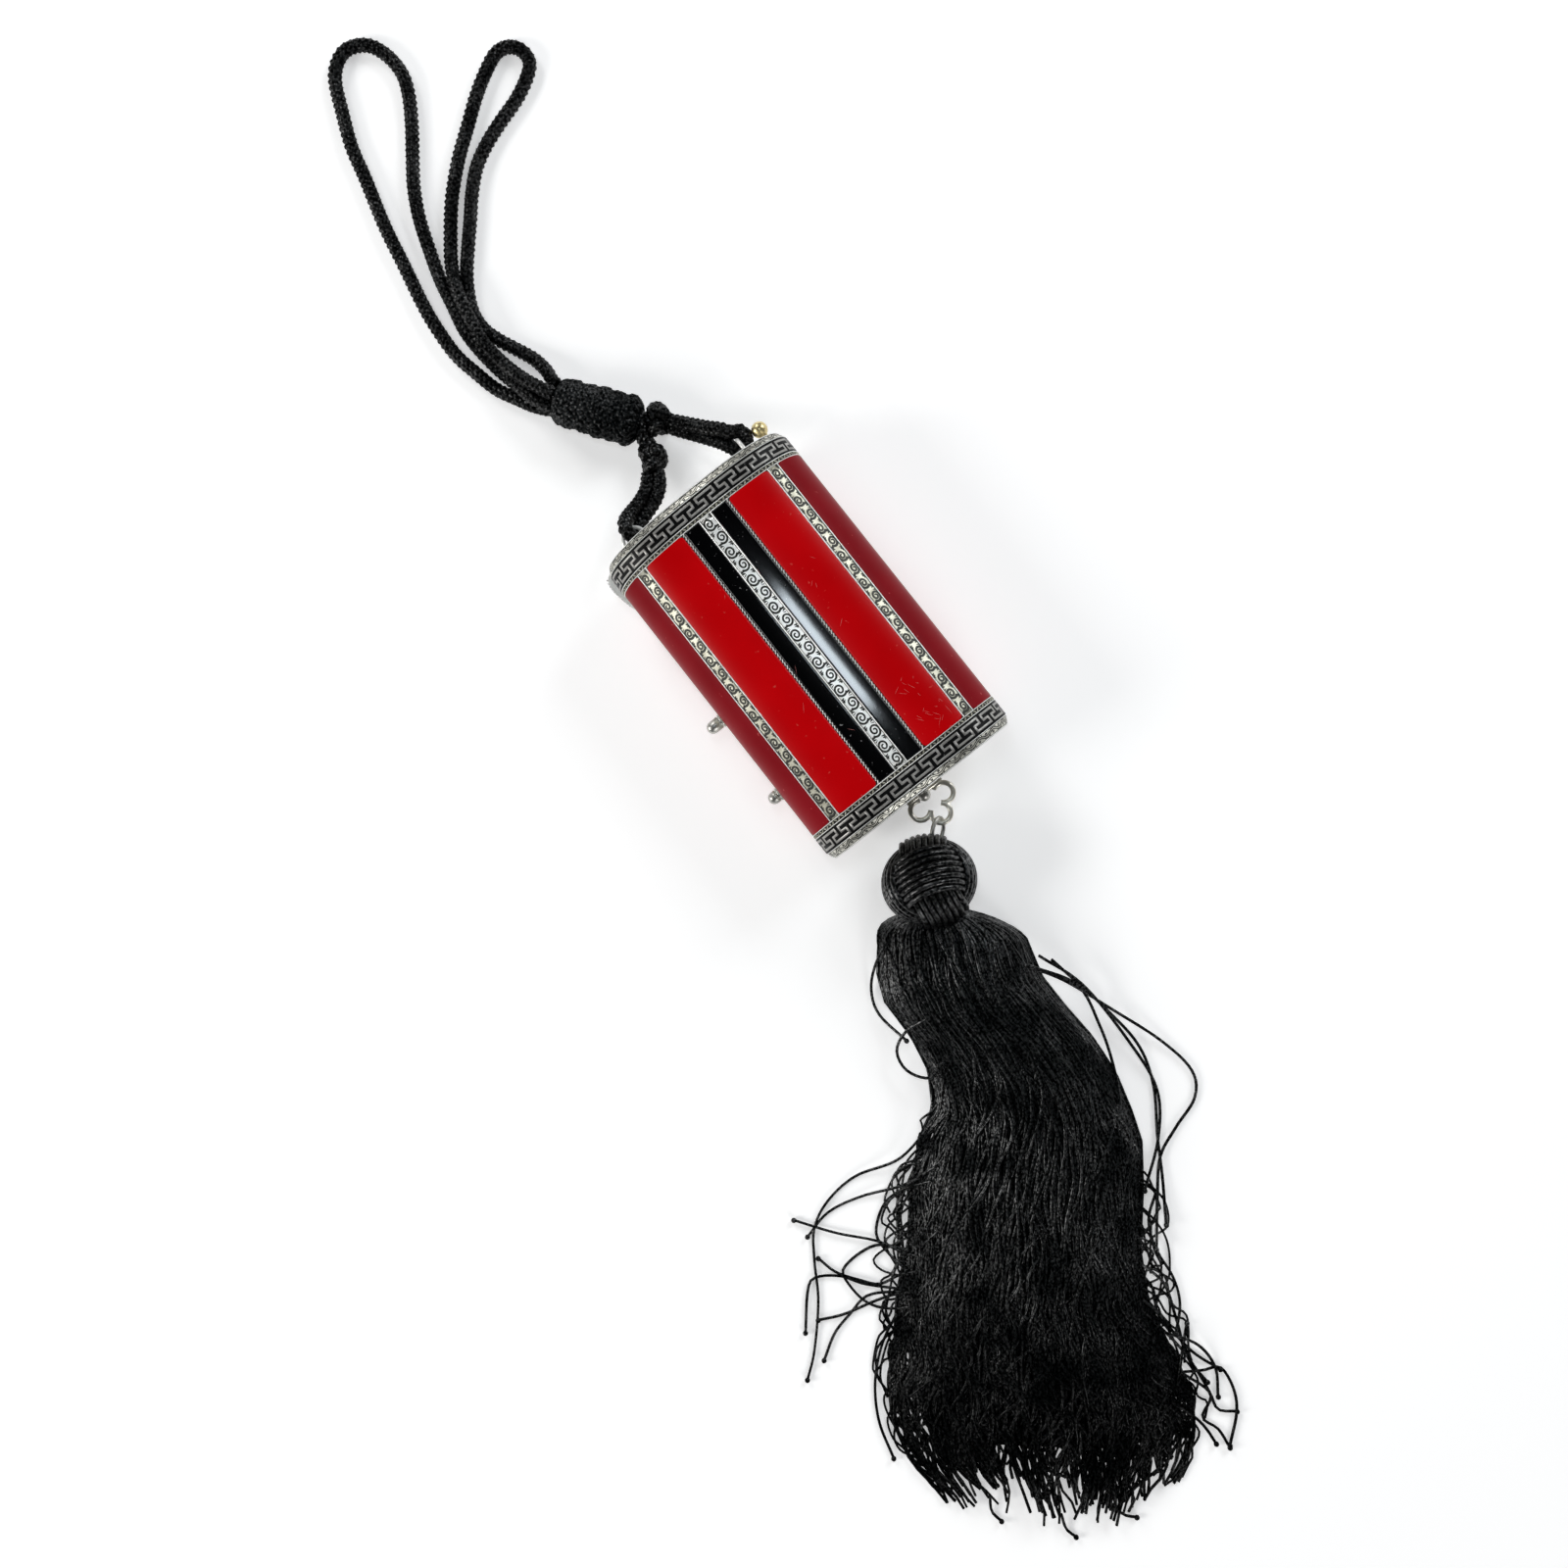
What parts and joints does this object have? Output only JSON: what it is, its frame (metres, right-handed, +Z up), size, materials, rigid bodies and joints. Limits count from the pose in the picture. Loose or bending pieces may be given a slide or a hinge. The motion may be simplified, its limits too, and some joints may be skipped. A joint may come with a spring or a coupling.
{
  "type": "vanity case",
  "caption": "Oval silver vanity case with red and black enamel, a Greek key band at each end, a black silk wrist cord and a long silk tassel.",
  "frame": {"origin": "middle of the small flat under the case, on the surface it lies on", "axes": "+Y along the case from the tassel end to the cord end, +Z up through the front cover, +X to the side with the gold knob"},
  "size_m": [0.1298, 0.3732, 0.0289],
  "materials": {
    "silver": "engraved silver, darkened in the recesses",
    "red_enamel": "glossy enamel with fine wear scratches",
    "black_enamel": "glossy enamel",
    "gold": "polished gold",
    "silk": "braided and twisted silk with a soft sheen"
  },
  "bodies": {
    "root": {"front_cover": "silver", "case_body": "silver", "side_button_upper": "silver", "side_button_lower": "silver", "end_button": "silver", "cord_ring_left": "silver", "cord_ring_right": "silver", "tassel_hanger": "silver", "tassel_ring": "silver", "red_panel_left": "red_enamel", "red_panel_right": "red_enamel", "red_panel_back": "red_enamel", "side_panel_front_left": "red_enamel", "side_panel_front_right": "red_enamel", "side_panel_back_left": "red_enamel", "side_panel_back_right": "red_enamel", "black_panel_left": "black_enamel", "black_panel_right": "black_enamel", "key_band_front_cord_end": "black_enamel", "key_band_front_tassel_end": "black_enamel", "key_band_back_cord_end": "black_enamel", "key_band_back_tassel_end": "black_enamel", "gold_knob": "gold", "tassel_ball": "silk", "tassel_skirt": "silk", "wrist_loop_left": "silk", "wrist_loop_right": "silk", "strap_left": "silk", "strap_right": "silk", "slide_knot": "silk", "small_knot_left": "silk", "small_knot_right": "silk"}
  },
  "joints": []
}
